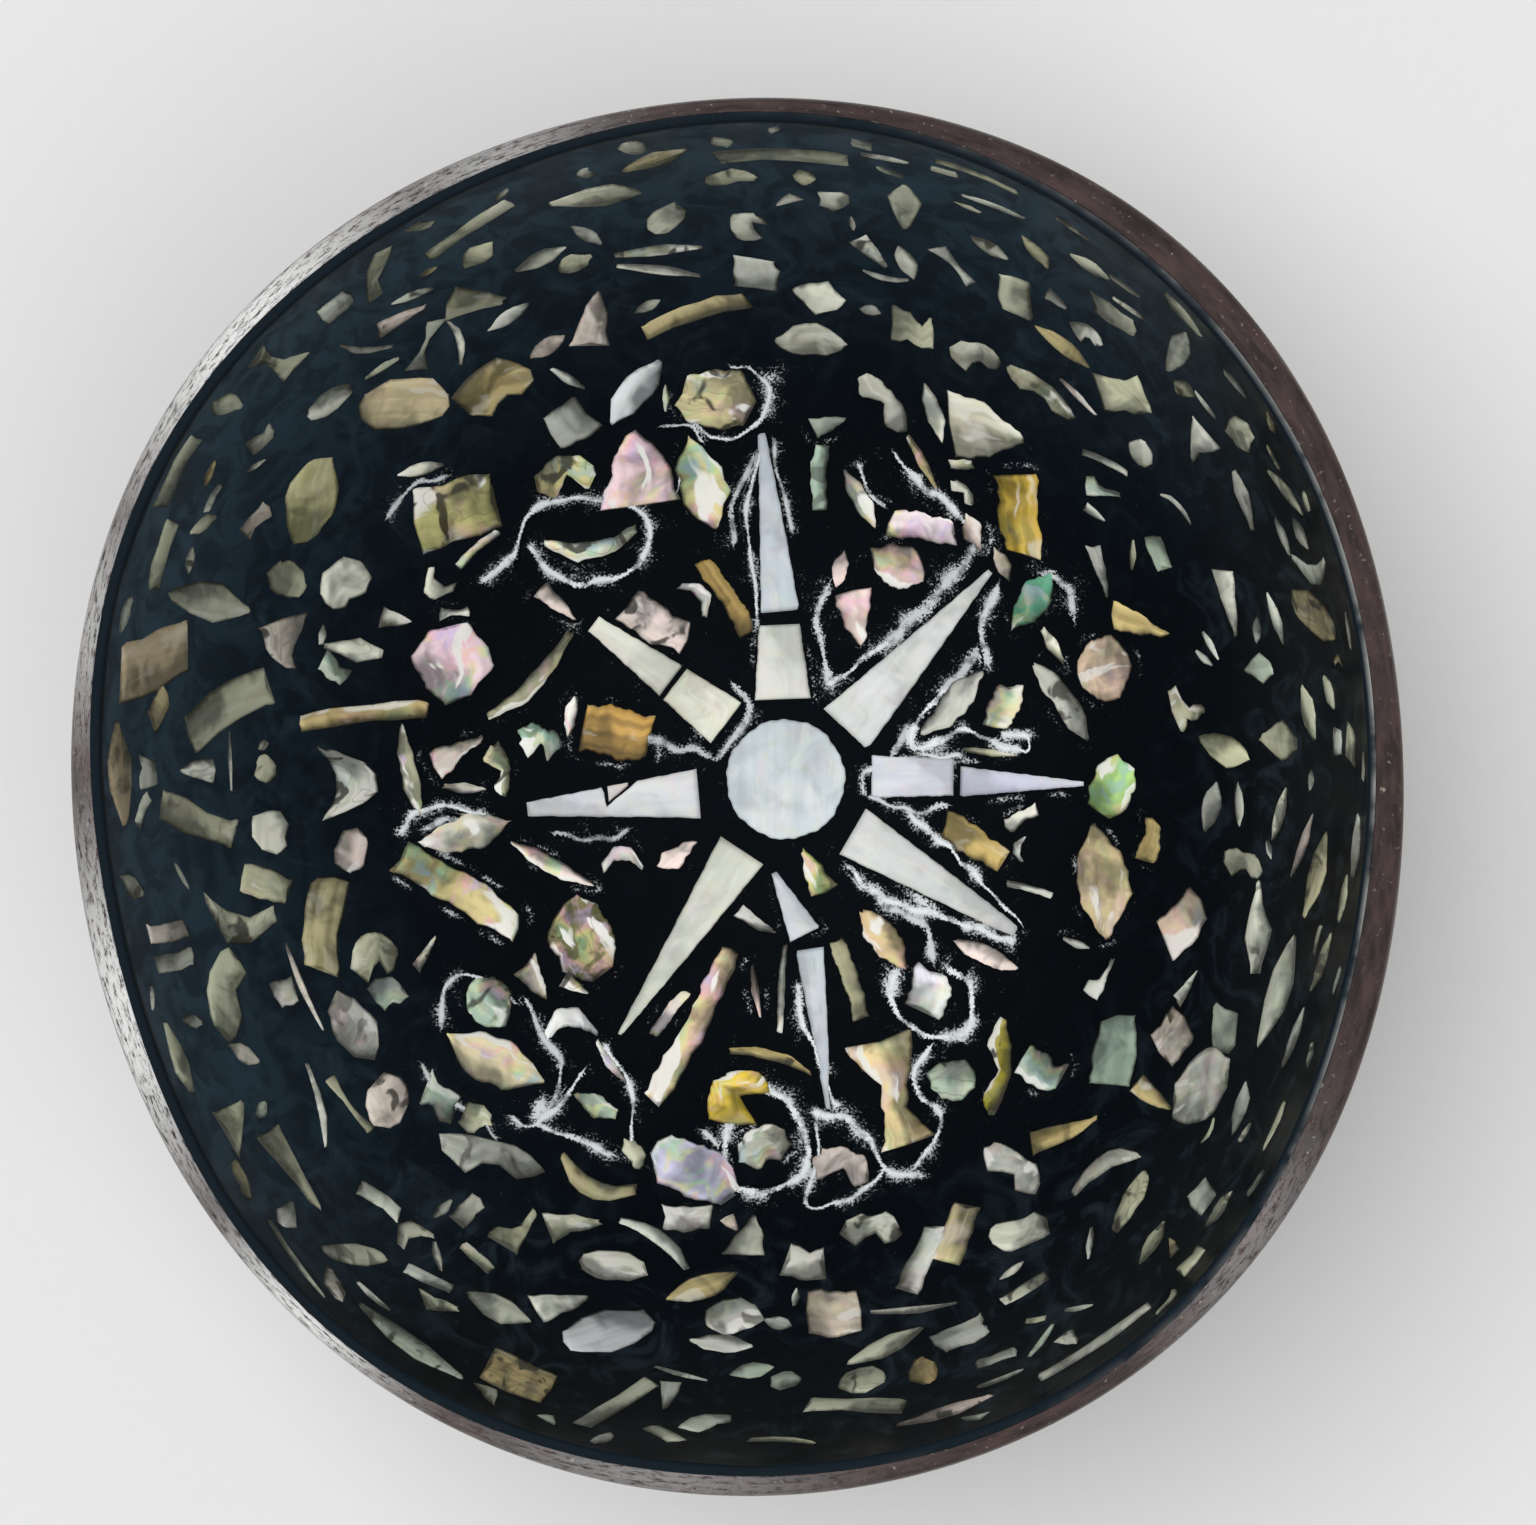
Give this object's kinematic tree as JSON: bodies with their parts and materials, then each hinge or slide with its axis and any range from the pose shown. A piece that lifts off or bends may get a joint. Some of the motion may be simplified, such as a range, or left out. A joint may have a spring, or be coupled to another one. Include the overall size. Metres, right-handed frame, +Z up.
{
  "type": "coconut shell bowl",
  "caption": "Bowl from half a coconut shell with a sanded flat foot, black lacquer lining, and an inlay of a pearl star among scattered broken shell chips.",
  "frame": {"origin": "Middle of the flat foot, where the bowl rests.", "axes": "+Z is up from the foot to the rim. +X is along the star's east ray, near where the shell is thickest. +Y is along the star's north ray."},
  "size_m": [0.1319, 0.1379, 0.058],
  "materials": {
    "coconut": "polished coconut shell",
    "lacquer": "gloss black lacquer",
    "pearl": "sawn white mother of pearl",
    "ivory_shell": "broken sea shell, ivory tone",
    "khaki_shell": "broken sea shell, khaki tone",
    "gold_shell": "broken sea shell, gold tone",
    "rose_shell": "broken sea shell, rose tone",
    "jade_shell": "broken sea shell, jade tone",
    "grey_shell": "broken sea shell, grey tone"
  },
  "bodies": {
    "root": {"coconut_shell": "coconut", "lacquer_lining": "lacquer", "star_disc": "pearl", "star_north_base": "pearl", "star_north_tip": "pearl", "star_north_east_ray": "pearl", "star_east_base": "pearl", "star_east_tip": "pearl", "star_south_east_ray": "pearl", "star_south_base": "pearl", "star_south_tip": "pearl", "star_south_west_ray": "pearl", "star_west_ray": "pearl", "star_north_west_base": "pearl", "star_north_west_tip": "pearl", "star_west_patch": "pearl", "floor_ivory_chips": "ivory_shell", "floor_khaki_chips": "khaki_shell", "floor_gold_chips": "gold_shell", "floor_rose_chips": "rose_shell", "floor_jade_chips": "jade_shell", "floor_grey_chips": "grey_shell", "curve_ivory_chips": "ivory_shell", "curve_khaki_chips": "khaki_shell", "curve_gold_chips": "gold_shell", "curve_rose_chips": "rose_shell", "curve_jade_chips": "jade_shell", "curve_grey_chips": "grey_shell", "wall_ivory_chips": "ivory_shell", "wall_khaki_chips": "khaki_shell", "wall_gold_chips": "gold_shell", "wall_rose_chips": "rose_shell", "wall_jade_chips": "jade_shell", "wall_grey_chips": "grey_shell", "rim_ivory_chips": "ivory_shell", "rim_khaki_chips": "khaki_shell", "rim_gold_chips": "gold_shell", "rim_rose_chips": "rose_shell", "rim_jade_chips": "jade_shell", "rim_grey_chips": "grey_shell"}
  },
  "joints": []
}
